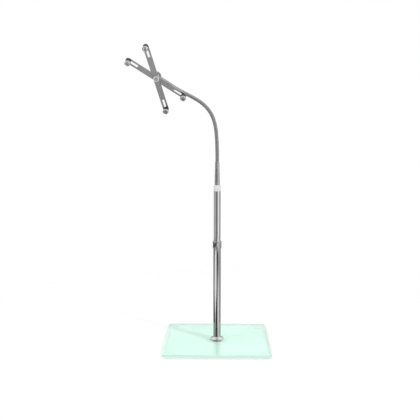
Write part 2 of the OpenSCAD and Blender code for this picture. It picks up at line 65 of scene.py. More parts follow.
# Gooseneck
ROOT_SEAT, FERRULE_LEN, FERRULE_FOOT_R, FERRULE_TOP_R = 18.0, 86.0, 10.0, 7.9
NECK_R, NECK_BORE, NECK_Z = 7.0, 7.05, 711.8
LINKS, LINK_LEN = 9, 48.0
LINK_BENDS, FRONT_BEND = (2, 3, 13, 23, 19, 4, -6), 45.0
WIND_PITCH, WIND_DEPTH, WIND_RINGS, WIND_SIDES = 3.0, 0.75, 8, 32
WIND_START, BEND_REACH, ROOT_BEND_REACH = 40.0, 20.0, 11.0
TIP_GRIP, TIP_WALL, TIP_R = 16.0, 8.0, 9.5
SPIGOT_R, SPIGOT_LEN = 5.0, 8.0

# Ball joint
BALL_Z, BALL_R, CUP_R = 30.0, 9.0, 9.3
HOUSING_Z, HOUSING_FRONT, HOUSING_R = 8.3, 31.0, 13.0
GRUB_Z, GRUB_R = 12.0, 1.0
RING_Z, RING_FRONT, RING_R, RING_BORE, RING_SEAT = 22.0, 33.78, 15.0, 13.05, 31.3
LEAN, STUD_REACH = 27.0, 18.0
STUD_R, STUD_FLANGE_R, STUD_FLANGE_T, STUD_END = 3.0, 11.0, 3.0, 12.7
NUT_Z, NUT_T, NUT_FLATS = 9.4, 3.0, 10.0

# Holder
ARM_W, ARM_T, ARM_BORE, SLOT_W = 20.0, 3.5, 3.05, 7.2
REAR_Z, REAR_REACH, REAR_ANGLE = 0.8, 111.0, 145.0
FRONT_Z, FRONT_REACH, FRONT_ANGLE = 5.1, 117.0, 104.0
KNOB_TRAVEL = 34.0
SEAT_Z, SEAT_R, GRIP_R = 14.0, 8.5, 4.5
PEG_R, PEG_HEAD, PEG_HEAD_T, PEG_HEAD_CORNER, GUIDE_R, PEG_END = 2.5, 15.0, 2.6, 2.0, 3.4, 29.9
KNOB_Z, KNOB_R, KNOB_H, HOLLOW_R = 25.0, 10.0, 6.5, 3.4

# Fineness of the meshes: sides of turned pieces, of holes and of corners, and the angle that counts as sharp
ROUND, FINE_ROUND, HOLE_SIDES, SOFT_STEPS = 96, 128, 48, 4
SHARP = 30.0
ON_AXIS, SAME_POINT = 1e-6, 1e-4


# Frames


def turn(axis, degrees):
    """Rotation about an axis."""
    return Matrix.Rotation(math.radians(degrees), 4, axis)


def shift(x, y, z):
    """Move by a distance."""
    return Matrix.Translation((x, y, z))


def link_step(i, share=1.0):
    """From the start of gooseneck length i to a share of the way along it."""
    if i >= len(LINK_BENDS):
        bend, way = FRONT_BEND, -90.0
    else:
        bend, way = abs(LINK_BENDS[i]), 0.0 if LINK_BENDS[i] < 0 else 180.0
    r = LINK_LEN / math.radians(bend)
    return turn("Z", way) @ shift(r, 0, 0) @ turn("Y", bend * share) @ shift(-r, 0, 0) @ turn("Z", -way)


LINK_FRAMES = [shift(0, 0, NECK_Z)]
for i in range(LINKS):
    LINK_FRAMES.append(LINK_FRAMES[-1] @ link_step(i))


def neck_frame(s):
    """Frame on the gooseneck's centreline, a distance s after its first bending point."""
    i = math.floor(s / LINK_LEN)
    if i < 0:
        return LINK_FRAMES[0] @ shift(0, 0, s)
    if i >= LINKS:
        return LINK_FRAMES[LINKS] @ shift(0, 0, s - LINKS * LINK_LEN)
    return LINK_FRAMES[i] @ link_step(i, s / LINK_LEN - i)


NECK_END = LINKS * LINK_LEN + TIP_GRIP
AT_TIP = neck_frame(NECK_END) @ turn("Z", -sum(LINK_BENDS))
AT_HOLDER = AT_TIP @ shift(0, 0, BALL_Z) @ turn("X", LEAN) @ shift(0, 0, STUD_REACH)
PEGS = {
    "left": (REAR_Z, REAR_REACH, REAR_ANGLE),
    "right": (REAR_Z, REAR_REACH, REAR_ANGLE + 180),
    "top": (FRONT_Z, FRONT_REACH, FRONT_ANGLE),
    "bottom": (FRONT_Z, FRONT_REACH, FRONT_ANGLE + 180),
}


# Outlines


def soften(points, radius, closed=True):
    """The outline with each corner off the axis rounded by about that radius."""
    most = 0.45
    out = []
    last = len(points) - 1
    for i, p in enumerate(points):
        if abs(p[0]) < ON_AXIS or (not closed and i in (0, last)):
            out.append(tuple(p))
            continue
        here, before, after = Vector(p), Vector(points[i - 1]), Vector(points[(i + 1) % (last + 1)])
        back, on = before - here, after - here
        cut = min(radius, most * back.length, most * on.length)
        start, end = here + back.normalized() * cut, here + on.normalized() * cut
        for k in range(SOFT_STEPS + 1):
            t = k / SOFT_STEPS
            out.append(tuple(start * (1 - t) ** 2 + here * 2 * t * (1 - t) + end * t * t))
    return out


def arc_points(centre, radius, start, end, count):
    """Points on an arc, from one angle to another in degrees."""
    out = []
    for k in range(count + 1):
        a = math.radians(start + (end - start) * k / count)
        out.append((centre[0] + radius * math.cos(a), centre[1] + radius * math.sin(a)))
    return out


def circle(r):
    """Points round a hole."""
    return arc_points((0, 0), r, 0, 360 - 360 / HOLE_SIDES, HOLE_SIDES - 1)


def stadium(x0, x1, w, arc=24):
    """Outline of a bar with round ends."""
    return arc_points((x1, 0), w / 2, -90, 90, arc) + arc_points((x0, 0), w / 2, 90, 270, arc)


def round_rectangle(w, d, r, arc):
    """Outline of a rectangle with round corners."""
    x, y = w / 2 - r, d / 2 - r
    out = []
    for k, (sx, sy) in enumerate(((1, 1), (-1, 1), (-1, -1), (1, -1))):
        out += arc_points((sx * x, sy * y), r, 90 * k, 90 * k + 90, arc)
    return out


def levels(z0, z1, pitch):
    """Heights from z0 to z1 about a pitch apart."""
    count = max(1, round((z1 - z0) / pitch))
    return [z0 + (z1 - z0) * k / count for k in range(count + 1)]


def groove(r, z, depth, side, flat):
    """Outline of a turned groove that starts at a height: a slope, a flat bottom and a slope."""
    return [(r, z), (r - depth, z + side), (r - depth, z + side + flat), (r, z + 2 * side + flat)]


def thread(r, z0, z1, pitch, depth=0.25):
    """Outline of the ridges of a thread."""
    out = []
    for z in levels(z0, z1, pitch):
        out += [(r - depth, z), (r, z + pitch / 2)]
    return out


# Meshes


def finish_mesh(name, bm, place, sharp=SHARP):
    """Object from a mesh in millimetres, set at a frame."""
    bmesh.ops.remove_doubles(bm, verts=bm.verts, dist=SAME_POINT)
    bmesh.ops.recalc_face_normals(bm, faces=bm.faces)
    bmesh.ops.scale(bm, vec=(MM, MM, MM), verts=bm.verts)
    mesh = bpy.data.meshes.new(name)
    bm.to_mesh(mesh)
    bm.free()
    mesh.shade_smooth()
    mesh.set_sharp_from_angle(angle=math.radians(sharp))
    obj = bpy.data.objects.new(name, mesh)
    bpy.context.scene.collection.objects.link(obj)
    obj.modifiers.new("weighted_normals", "WEIGHTED_NORMAL").keep_sharp = True
    at = place.copy()
    at.translation *= MM
    obj.matrix_world = at
    return obj


def band(bm, low, high):
    """Adds the faces between two loops of points."""
    n = len(low)
    return [bm.faces.new((low[i], low[(i + 1) % n], high[(i + 1) % n], high[i])) for i in range(n)]


def rim(bm, loop):
    """The edges round a loop of points."""
    return [bm.edges.get((loop[i - 1], loop[i])) for i in range(len(loop))]


def lathe_into(bm, profile, steps=ROUND, shape=None, place=None):
    """Adds a closed outline (r, z), turned about Z; shape may change a radius by height and angle."""
    rings = []
    for k in range(steps):
        a = 2 * math.pi * k / steps
        ring = []
        for r, z in profile:
            rr = shape(r, z, a) if shape else r
            co = Vector((rr * math.cos(a), rr * math.sin(a), z))
            ring.append(bm.verts.new(place @ co if place else co))
        rings.append(ring)
    n = len(profile)
    for k in range(steps):
        here, there = rings[k], rings[(k + 1) % steps]
        for i in range(n):
            j = (i + 1) % n
            i_on_axis, j_on_axis = profile[i][0] < ON_AXIS, profile[j][0] < ON_AXIS
            if i_on_axis and j_on_axis:
                continue
            if i_on_axis:
                bm.faces.new((here[i], here[j], there[j]))
            elif j_on_axis:
                bm.faces.new((here[i], here[j], there[i]))
            else:
                bm.faces.new((here[i], here[j], there[j], there[i]))


def lathe(name, profile, place=Matrix(), steps=ROUND, shape=None, sharp=SHARP):
    """Turned piece."""
    bm = bmesh.new()
    lathe_into(bm, profile, steps, shape)
    return finish_mesh(name, bm, place, sharp)


def flutes(count, depth, z0, z1, r_min, fade=0.6):
    """Radius change that cuts rounded flutes into the outside between two heights."""

    def shape(r, z, a):
        if r < r_min:
            return r
        edge = max(0.0, min(1.0, (z - z0) / fade, (z1 - z) / fade))
        return r - depth * edge * (0.5 - 0.5 * math.cos(count * a)) ** 0.7

    return shape


def plate_into(bm, outlines, z, t, soft):
    """Adds a flat plate with rounded edges; each outline is a function of its distance from the edge."""
    rows = []
    for k in range(SOFT_STEPS + 1):
        a = math.radians(90 * k / SOFT_STEPS)
        rows.append((soft * (1 - math.sin(a)), soft * (1 - math.cos(a))))
    rows += [(inset, t - dz) for inset, dz in reversed(rows)]
    ends = [[], []]
    for outline in outlines:
        loops = [[bm.verts.new((x, y, z + dz)) for x, y in outline(inset)] for inset, dz in rows]
        for low, high in zip(loops, loops[1:]):
            band(bm, low, high)
        for edges, loop in zip(ends, (loops[0], loops[-1])):
            edges += rim(bm, loop)
    for edges in ends:
        bmesh.ops.triangle_fill(bm, edges=edges, use_beauty=True)


def drill(obj, place, radius, length=20.0):
    """Cuts a round hole along a frame's Z into a piece, in millimetres."""
    cutter = lathe("cutter", [(0, 0), (radius, 0), (radius, length), (0, length)], place, 32)
    cut = obj.modifiers.new("hole", "BOOLEAN")
    cut.operation, cut.object, cut.solver = "DIFFERENCE", cutter, "EXACT"
    bpy.context.view_layer.update()
    mesh = bpy.data.meshes.new_from_object(obj.evaluated_get(bpy.context.evaluated_depsgraph_get()))
    obj.modifiers.clear()
    obj.data = mesh
    mesh.shade_smooth()
    mesh.set_sharp_from_angle(angle=math.radians(SHARP))
    bpy.data.objects.remove(cutter)
    return obj


# Materials


class Paint:
    """One procedural material: colour, roughness and relief from noise in the piece's own frame."""

    def __init__(self, name, **values):
        self.mat = bpy.data.materials.new(name)
        self.mat.use_nodes = True
        self.tree = self.mat.node_tree
        self.shader = self.tree.nodes["Principled BSDF"]
        self.out = self.tree.nodes["Material Output"]
        self.place = self.node("ShaderNodeTexCoord").outputs["Object"]
        for key, value in values.items():
            self.shader.inputs[key.replace("_", " ")].default_value = value

    def node(self, kind, **values):
        """New node, with values for its settings and its sockets."""
        made = self.tree.nodes.new(kind)
        for key, value in values.items():
            if hasattr(made, key):
                setattr(made, key, value)
            else:
                made.inputs[key.replace("_", " ")].default_value = value
        return made

    def link(self, a, b):
        """Joins an output to an input."""
        self.tree.links.new(a, b)

    def noise(self, scale, detail=3.0, stretch=(1, 1, 1)):
        """Noise over the piece, which may be stretched along an axis."""
        spread = self.node("ShaderNodeMapping", Scale=stretch)
        self.link(self.place, spread.inputs["Vector"])
        made = self.node("ShaderNodeTexNoise", Scale=scale, Detail=detail, Roughness=0.5)
        self.link(spread.outputs["Vector"], made.inputs["Vector"])
        return made.outputs["Fac"]

    def colour(self, fac, stops):
        """Base colour from a value, as stops of (place, colour)."""
        ramp = self.node("ShaderNodeValToRGB")
        elements = ramp.color_ramp.elements
        for element, (at, value) in zip((elements[0], elements[1]), (stops[0], stops[-1])):
            element.position, element.color = at, (*value, 1)
        for at, value in stops[1:-1]:
            elements.new(at).color = (*value, 1)
        self.link(fac, ramp.inputs["Fac"])
        self.link(ramp.outputs["Color"], self.shader.inputs["Base Color"])

    def drift(self, scale, detail, dark, pale):
        """Base colour that drifts between two colours."""
        self.colour(self.noise(scale, detail), ((0.35, dark), (0.65, pale)))

    def rough(self, fac, low, high):
        """Roughness between two levels from a value."""
        scale = self.node("ShaderNodeMapRange", From_Min=0.3, From_Max=0.7, To_Min=low, To_Max=high)
        self.link(fac, scale.inputs["Value"])
        self.link(scale.outputs["Result"], self.shader.inputs["Roughness"])

    def relief(self, fac, strength, depth):
        """Bump from a value."""
        bump = self.node("ShaderNodeBump", Strength=strength, Distance=depth)
        self.link(fac, bump.inputs["Height"])
        self.link(bump.outputs["Normal"], self.shader.inputs["Normal"])


# Depth of a material's relief in metres
FINE, COARSE = 0.0002, 0.0003


def grey(v, warm=0.0):
    """Grey, or a slightly warm one."""
    return (v + warm, v, v - warm)


def metal(name, dark, pale, rough, grain, relief, stretch=(1, 1, 1)):
    """Metal between two greys, with a fine grain in its polish."""
    paint = Paint(name, Metallic=1.0)
    fine = paint.noise(grain, 4.0, stretch)
    paint.drift(35.0, 3.0, grey(dark), grey(pale))
    paint.rough(fine, *rough)
    paint.relief(fine, relief, FINE)
    return paint.mat


def moulded(name, dark, pale, rough, grain, relief, depth):
    """Plastic, rubber or a ground edge, with a fine skin."""
    paint = Paint(name)
    skin = paint.noise(grain, 5.0)
    paint.drift(24.0, 4.0, dark, pale)
    paint.rough(paint.noise(90.0, 3.0), *rough)
    paint.relief(skin, relief, depth)
    return paint.mat


def glass(name, dark, pale, shade, rough, ior=1.5):
    """Clear material that lets the lamps' light through, tinted."""
    paint = Paint(name, Transmission_Weight=1.0, IOR=ior)
    paint.drift(6.0, 2.0, dark, pale)
    paint.rough(paint.noise(14.0, 4.0), *rough)
    clear = paint.node("ShaderNodeBsdfTransparent", Color=(*shade, 1))
    path, mix = paint.node("ShaderNodeLightPath"), paint.node("ShaderNodeMixShader")
    paint.link(path.outputs["Is Shadow Ray"], mix.inputs[0])
    paint.link(paint.shader.outputs[0], mix.inputs[1])
    paint.link(clear.outputs[0], mix.inputs[2])
    paint.link(mix.outputs[0], paint.out.inputs["Surface"])
    return paint.mat


def wound_metal():
    """Grey spiral winding, with painted shade that darkens it down in the grooves."""
    paint = Paint("neck_winding", Metallic=1.0)
    deep = paint.node("ShaderNodeAttribute", attribute_name="groove").outputs["Fac"]
    # Painted shade: the colour goes from grey to near black with the groove's depth, for the shade down
    # between the turns.
    paint.colour(deep, ((0.0, grey(0.52)), (0.45, grey(0.42)), (1.0, grey(0.12))))
    paint.rough(paint.noise(400.0, 4.0), 0.26, 0.40)
    paint.relief(paint.noise(1800.0, 3.0), 0.04, FINE)
    return paint.mat


POLISHED = (0.0, 0.03)
GLASS = glass("glass_face", (0.775, 0.985, 0.90), (0.815, 0.99, 0.92), (0.87, 1.0, 0.95), POLISHED)
# Painted highlight: the bevel is the same glass as the face, given a paler tint and a higher IOR so that its
# border shows bright.
GLASS_BEVEL = glass("glass_bevel", (0.90, 0.985, 0.95), (0.94, 0.99, 0.965), (0.95, 1.0, 0.98), POLISHED, 2.0)
GLASS_EDGE = moulded("glass_edge", (0.70, 0.985, 0.87), (0.75, 0.99, 0.90), (0.08, 0.16), 60.0, 0.02, COARSE)
CLEAR = glass("clear_rubber", (0.95, 0.98, 0.97), (0.98, 0.99, 0.99), (0.97, 0.99, 0.98), (0.12, 0.20), 1.04)
CHROME = metal("chrome_plate", 0.68, 0.73, (0.035, 0.075), 220.0, 0.02, (1, 1, 0.12))
COLLAR_CHROME = metal("collar_chrome", 0.50, 0.57, (0.03, 0.08), 500.0, 0.04, (1, 1, 0.2))
ZINC = metal("zinc_plate", 0.74, 0.82, (0.40, 0.52), 700.0, 0.05)
STEEL = metal("plain_steel", 0.48, 0.58, (0.22, 0.36), 700.0, 0.05)
SATIN = metal("satin_metal", 0.50, 0.57, (0.24, 0.36), 900.0, 0.06, (0.02, 1, 1))
TURNED = metal("turned_metal", 0.46, 0.54, (0.20, 0.32), 1600.0, 0.05, (0.05, 0.05, 1))
KNOB_METAL = metal("knob_metal", 0.62, 0.70, (0.10, 0.18), 900.0, 0.03, (0.1, 0.1, 1))
WOUND = wound_metal()
WHITE = moulded("white_plastic", grey(0.74), grey(0.80), (0.34, 0.46), 2200.0, 0.05, FINE)
PALE = moulded("pale_plastic", grey(0.78, 0.002), grey(0.84, 0.002), (0.22, 0.34), 1500.0, 0.03, FINE)
RUBBER = moulded("grip_rubber", grey(0.035), grey(0.055), (0.55, 0.75), 2600.0, 0.25, COARSE)
GASKET = moulded("gasket_rubber", grey(0.09), grey(0.12), (0.55, 0.70), 2600.0, 0.20, COARSE)


# Pieces of the base and the pole


def put(obj, body, mat, *replaced):
    """Gives a piece its material, its body and the nodes that it stands for."""
    obj.data.materials.append(mat)
    if body:
        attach(obj, body)
    if replaced:
        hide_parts(*replaced)
    return obj


def glass_slab():
    """Slab with ground edges: a small chamfer below, an upright side and the wide polished bevel."""
    face, bevel, edge = 0, 1, 2
    chamfer, ease = 0.8, 0.5
    side_top = GLASS_TOP - BEVEL_H
    rows = [
        (chamfer, GLASS_Z, edge), (0.0, GLASS_Z + chamfer, edge),
        (0.0, side_top - 0.3, edge), (0.12, side_top - 0.1, edge), (0.45, side_top + 0.09, bevel),
        (BEVEL_W - ease, GLASS_TOP - 0.1, bevel), (BEVEL_W, GLASS_TOP - 0.02, bevel),
        (BEVEL_W + ease, GLASS_TOP, face),
    ]
    bm = bmesh.new()
    loops = []
    for inset, z, _ in rows:
        outline = round_rectangle(PLATE_W - 2 * inset, PLATE_D - 2 * inset, PLATE_CORNER - inset, 16)
        loops.append([bm.verts.new((x, y, z)) for x, y in outline])
    for low, high, (_, _, index) in zip(loops, loops[1:], rows[1:]):
        for made in band(bm, low, high):
            made.material_index = index
    holes = [[bm.verts.new((x, y, z)) for x, y in circle(GLASS_HOLE_R)] for z in (GLASS_Z, GLASS_TOP)]
    band(bm, *holes)
    for loop, hole in zip((loops[0], loops[-1]), holes):
        bmesh.ops.triangle_fill(bm, edges=rim(bm, loop) + rim(bm, hole), use_beauty=True)
    obj = put(finish_mesh("glass_slab", bm, Matrix(), 12.0), "base", GLASS, "glass_plate")
    obj.data.materials.append(GLASS_BEVEL)
    obj.data.materials.append(GLASS_EDGE)


def feet():
    """Round feet with a soft lower edge and a shallow hollow underneath."""
    top, hollow, hollow_r, sole_r = FOOT_H - FIT, 0.8, 8.0, 11.6
    profile = [(0, hollow), (hollow_r, hollow), (hollow_r + hollow, 0), (sole_r, 0)]
    profile += [(FOOT_R - 0.4, 1.2), (FOOT_R, top), (0, top)]
    x, y = PLATE_W / 2 - FOOT_INSET, PLATE_D / 2 - FOOT_INSET
    bm = bmesh.new()
    for sx in (-1, 1):
        for sy in (-1, 1):
            lathe_into(bm, soften(profile, 0.5), 48, place=shift(sx * x, sy * y, 0))
    put(finish_mesh("feet", bm, Matrix()), "base", CLEAR, "rubber_feet")


def flange():
    """Flared cover with a thin upright edge and a curve up to the tube."""
    steps = 24
    curve = []
    for k in range(steps + 1):
        a = math.radians(90 * k / steps)
        r = FLANGE_RIM_R - (FLANGE_RIM_R - FLANGE_TOP_R) * math.sin(a)
        curve.append((r, FLANGE_RIM + (FLANGE_H - FLANGE_RIM) * (1 - math.cos(a))))
    inner = LOWER_R + FIT
    edge = soften([(inner, 0), (FLANGE_R, 0), (FLANGE_R, 1.0), curve[0]], 0.4, closed=False)
    profile = edge + curve[1:] + [(FLANGE_TOP_R - 0.4, FLANGE_H), (inner, FLANGE_H)]
    put(lathe("flange_cover", profile, shift(0, 0, POLE_Z), FINE_ROUND), "base", CHROME, "base_flange")


def tube(name, r_in, r_out, z0, z1, body, node):
    """Plated tube with rolled rims."""
    profile = soften([(r_in, z0), (r_out, z0), (r_out, z1), (r_in, z1)], 0.5)
    put(lathe(name, profile, Matrix(), FINE_ROUND), body, CHROME, node)


def collar():
    """Twist-lock collar: a smooth band with a turned groove near each end."""
    r, top, chamfer = COLLAR_R, COLLAR_H, 0.8
    outer = [(r - chamfer, 0), (r, chamfer)]
    for z in (3.4, top - 4.6):
        outer += groove(r, z, 0.5, 0.4, 0.4)
    outer += [(r, top - chamfer), (r - chamfer, top)]
    neck, socket = UPPER_R + 0.3, LOWER_R + FIT
    bore = [(neck, top), (neck, COLLAR_ROOM), (socket, COLLAR_ROOM), (socket, 0)]
    obj = lathe("twist_collar", soften(outer + bore, 0.35), shift(0, 0, COLLAR_Z), FINE_ROUND)
    put(obj, "lock_collar", COLLAR_CHROME, "lock_collar")


def adapter():
    """Pale adapter: a plug in the tube, a soft-edged body and a hole for the set screw at the back."""
    low, top, r = UPPER_TOP, ADAPTER_TOP, ADAPTER_R
    plug, plug_end, seat = UPPER_BORE - FIT, low - ADAPTER_PLUG, top - ROOT_SEAT
    outer = [(0, plug_end), (plug, plug_end), (plug, low), (r, low)] + groove(r, low + 2.6, 0.35, 0.4, 0.6)
    outer += [(r, top - 2.6), (r - 2.2, top), (NECK_BORE, top), (NECK_BORE, seat), (0, seat)]
    obj = lathe("pale_adapter", soften(outer, 0.9))
    at = shift(0, NECK_BORE - 0.5, top - ROOT_SEAT / 2) @ turn("X", -90)
    put(drill(obj, at, SET_SCREW_R + FIT), "upper_pole", PALE, "neck_adapter")


# Pieces of the gooseneck


def ferrule():
    """Tapered sleeve with a bead at its foot."""

    def side(z, depth=0.0):
        return (FERRULE_FOOT_R + (FERRULE_TOP_R - FERRULE_FOOT_R) * z / FERRULE_LEN - depth, z)

    outer = [side(0), side(4), side(4.4, 0.4), side(5.2, 0.4), side(5.6), side(FERRULE_LEN)]
    outer += [(NECK_BORE, FERRULE_LEN), (NECK_BORE, 0)]
    obj = lathe("neck_sleeve", soften(outer, 0.35), shift(0, 0, ADAPTER_TOP))
    put(obj, "upper_pole", TURNED, "neck_ferrule")


def winding(index, s0, s1):
    """Stretch of the gooseneck's spiral winding, from one distance along its centreline to another."""
    bm = bmesh.new()
    depth = bm.verts.layers.float.new("groove")
    rings = []
    for s in levels(s0, s1, WIND_PITCH / WIND_RINGS):
        at = neck_frame(s)
        ring = []
        for k in range(WIND_SIDES):
            a = 2 * math.pi * k / WIND_SIDES
            deep = 1 - abs(math.sin(math.pi * s / WIND_PITCH - a / 2))
            r = NECK_R - WIND_DEPTH * deep ** 1.5
            vert = bm.verts.new(at @ Vector((r * math.cos(a), r * math.sin(a), 0)))
            vert[depth] = deep
            ring.append(vert)
        rings.append(ring)
    for low, high in zip(rings, rings[1:]):
        band(bm, low, high)
    bm.faces.new(rings[0][::-1])
    bm.faces.new(rings[-1])
    return finish_mesh("winding_%d" % index, bm, Matrix(), 60.0)


def gooseneck():
    """Nine stretches of winding, each bending over one joint."""
    for i in range(LINKS):
        joint = i * LINK_LEN
        s0 = joint - LINK_LEN / 2 if i else ADAPTER_TOP - NECK_Z + WIND_START
        s1 = joint + LINK_LEN / 2 if i < LINKS - 1 else NECK_END - FIT
        obj = winding(i + 1, s0, s1)
        body = "neck_link_%d" % (i + 1)
        put(obj, None, WOUND, body)
        if i == 0:
            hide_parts("neck_root")
        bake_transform(obj)


def tip_sleeve():
    """Sleeve on the gooseneck's tip with turned grooves, and a spigot with a neck for the grub screw."""
    r, chamfer, front, half_neck = TIP_R, 0.8, TIP_WALL + SPIGOT_LEN, 1.2
    outer = [(NECK_BORE, -TIP_GRIP), (r - chamfer, -TIP_GRIP), (r, chamfer - TIP_GRIP)]
    for z in (-12.0, -9.0, 4.4):
        outer += groove(r, z, 0.4, 0.4, 0.5)
    outer += [(r, TIP_WALL - chamfer), (r - chamfer, TIP_WALL), (SPIGOT_R, TIP_WALL)]
    outer += groove(SPIGOT_R, GRUB_Z - half_neck, 1.0, 0.0, 2 * half_neck)
    outer += [(SPIGOT_R, front), (0, front), (0, 0), (NECK_BORE, 0)]
    put(lathe("tip_sleeve", soften(outer, 0.25), AT_TIP), "neck_link_9", TURNED, "tip_ferrule")


# Pieces of the ball joint


def housing():
    """Ball housing: a bore for the spigot, the ball's cup and the grub screw's hole underneath."""
    r, chamfer, bore, bore_end = HOUSING_R, 1.0, SPIGOT_R + FIT, TIP_WALL + SPIGOT_LEN + 0.3
    outer = [(bore, HOUSING_Z), (r - chamfer, HOUSING_Z), (r, HOUSING_Z + chamfer)]
    outer += groove(r, 15.6, 0.5, 0.4, 0.6)
    outer += [(r, HOUSING_FRONT), (CUP_R, HOUSING_FRONT), (CUP_R, BALL_Z)]
    cup = arc_points((0, BALL_Z), CUP_R, 0, -90, 16)[1:-1]
    profile = soften(outer, 0.2) + cup + [(0, BALL_Z - CUP_R), (0, bore_end), (bore, bore_end)]
    obj = lathe("ball_cup", profile, AT_TIP)
    at = AT_TIP @ shift(0, 0.5 - SPIGOT_R, GRUB_Z) @ turn("X", 90)
    put(drill(obj, at, GRUB_R + FIT), "ball_housing", TURNED, "ball_housing")


def lock_ring():
    """Fluted ring over the ball's front."""
    h, chamfer, plain = RING_FRONT - RING_Z, 0.7, 1.2
    outer = [(RING_BORE, 0), (RING_R - chamfer, 0), (RING_R, chamfer)]
    outer += [(RING_R, z) for z in levels(plain, h - plain, 0.35)]
    outer += [(RING_R, h - chamfer), (RING_R - chamfer, h)]
    lip = [(r, z - RING_Z) for r, z in arc_points((0, BALL_Z), CUP_R, 23.9, 8.1, 8)]
    profile = outer + lip + [(RING_BORE, RING_SEAT - RING_Z)]
    shape = flutes(36, 0.5, 1.0, h - 1.0, RING_R - 0.01)
    obj = lathe("lock_ring", profile, AT_TIP @ shift(0, 0, RING_Z), 288, shape)
    put(obj, "ball_lock_ring", TURNED, "ball_lock_ring")


def stud():
    """Bright ball with its stud, the flange behind the arms and a thread at the front."""
    r, back = STUD_FLANGE_R, -STUD_FLANGE_T
    ball = arc_points((0, -STUD_REACH), BALL_R, -90, 70, 28)
    outer = [(0, ball[0][1])] + ball[1:] + [(STUD_R, ball[-1][1] + 0.5), (STUD_R, back)]
    outer += [(r - 0.6, back), (r, back + 0.6), (r, -0.4), (r - 0.4, 0), (STUD_R, 0), (STUD_R, 9.0)]
    outer += thread(STUD_R, 9.4, 11.8, 0.6) + [(STUD_R - 0.6, STUD_END), (0, STUD_END)]
    put(lathe("ball_and_stud", outer, AT_HOLDER), "ball_stud", KNOB_METAL, "ball_stud")


def nut():
    """Low hexagon nut with chamfered corners."""
    half = NUT_FLATS / 2
    corner = half / math.cos(math.radians(30))
    bore, ease = STUD_R + FIT, 0.3

    def shape(r, z, a):
        if r < half - 0.5:
            return r
        flat = half / math.cos((a + math.pi / 6) % (math.pi / 3) - math.pi / 6)
        end = min(z, NUT_T - z)
        return min(flat, half - 0.1 + end * (corner - half + 0.1) / 0.5)

    ends = (0.0, 0.12, 0.25, 0.4, 0.55)
    outer = [(corner, z) for z in ends] + [(corner, NUT_T - z) for z in reversed(ends)]
    outer += [(bore + ease, NUT_T), (bore, NUT_T - ease), (bore, 0)]
    obj = lathe("low_nut", outer, AT_HOLDER @ shift(0, 0, NUT_Z), 144, shape)
    put(obj, "ball_stud", STEEL, "pivot_nut")


# Pieces of the holder


def arm(name, node, z, reach, angle):
    """Flat arm with softened edges, a pivot hole and two slots."""
    bm = bmesh.new()
    inner = reach - KNOB_TRAVEL
    plate_into(bm, [
        lambda inset: stadium(-reach, reach, ARM_W - 2 * inset),
        lambda inset: circle(ARM_BORE + inset),
        lambda inset: stadium(inner, reach, SLOT_W + 2 * inset, 16),
        lambda inset: stadium(-reach, -inner, SLOT_W + 2 * inset, 16),
    ], 0, ARM_T, 0.6)
    obj = finish_mesh(name, bm, AT_HOLDER @ shift(0, 0, z) @ turn("Z", angle))
    put(obj, node, SATIN, node)


def peg(side, at, z):
    """Sliding peg: a square head behind the arm, a guide in the slot and a threaded end."""

    def head(inset):
        width = PEG_HEAD - 2 * inset
        return round_rectangle(width, width, PEG_HEAD_CORNER - inset, 6)

    bm = bmesh.new()
    plate_into(bm, [head], z - PEG_HEAD_T, PEG_HEAD_T, 0.5)
    sunk, guide_end = z - 0.5, z + ARM_T
    stem = [(0, sunk), (GUIDE_R, sunk), (GUIDE_R, guide_end), (PEG_R, guide_end), (PEG_R, KNOB_Z + 1)]
    stem += thread(PEG_R, KNOB_Z + 1.4, PEG_END - 1.0, 0.7) + [(PEG_R - 0.5, PEG_END), (0, PEG_END)]
    lathe_into(bm, stem, 48)
    put(finish_mesh("slide_peg_" + side, bm, at), "peg_" + side, STEEL, "peg_" + side)


def grip(side, at, foot):
    """Rubber sleeve on a peg, with a wide seat and turned grooves."""
    top, bore = KNOB_Z - SLIDE, PEG_R + FIT
    outer = [(bore, foot), (SEAT_R - 0.6, foot), (SEAT_R, foot + 0.6)]
    outer += [(SEAT_R, SEAT_Z - 0.8), (SEAT_R - 0.8, SEAT_Z), (GRIP_R, SEAT_Z)]
    for z in levels(SEAT_Z + 1.6, top - 2.4, 1.8):
        outer += groove(GRIP_R, z, 0.35, 0.3, 0.3)
    outer += [(GRIP_R, top), (bore, top)]
    put(lathe("rubber_grip_" + side, soften(outer, 0.25), at, 72), "peg_" + side, RUBBER, "grip_" + side)


def knob(side, at):
    """Domed knob with a groove round its side and a hollow for the peg's end."""
    waist, bore, ease = KNOB_H / 2, PEG_R + FIT, 0.9
    cap = [(bore, 0), (KNOB_R - ease, 0)] + arc_points((KNOB_R - ease, ease), ease, -90, 0, 6)[1:]
    cap += groove(KNOB_R, 1.5, 0.3, 0.25, 0.3) + [(KNOB_R, waist)]
    dome, steps = 60.0, 12
    for k in range(1, steps + 1):
        a = math.radians(dome * k / steps)
        rise = waist * math.sin(a) / math.sin(math.radians(dome))
        cap.append((HOLLOW_R + (KNOB_R - HOLLOW_R) * math.cos(a), waist + rise))
    cap += [(HOLLOW_R + 0.7, KNOB_H), (HOLLOW_R + 0.15, KNOB_H - 0.15), (HOLLOW_R, KNOB_H - 0.6)]
    cap += [(HOLLOW_R, waist + 0.4), (HOLLOW_R - 0.4, waist), (bore, waist)]
    obj = lathe("round_knob_" + side, cap, at @ shift(0, 0, KNOB_Z), sharp=40.0)
    put(obj, "knob_" + side, KNOB_METAL, "knob_" + side)


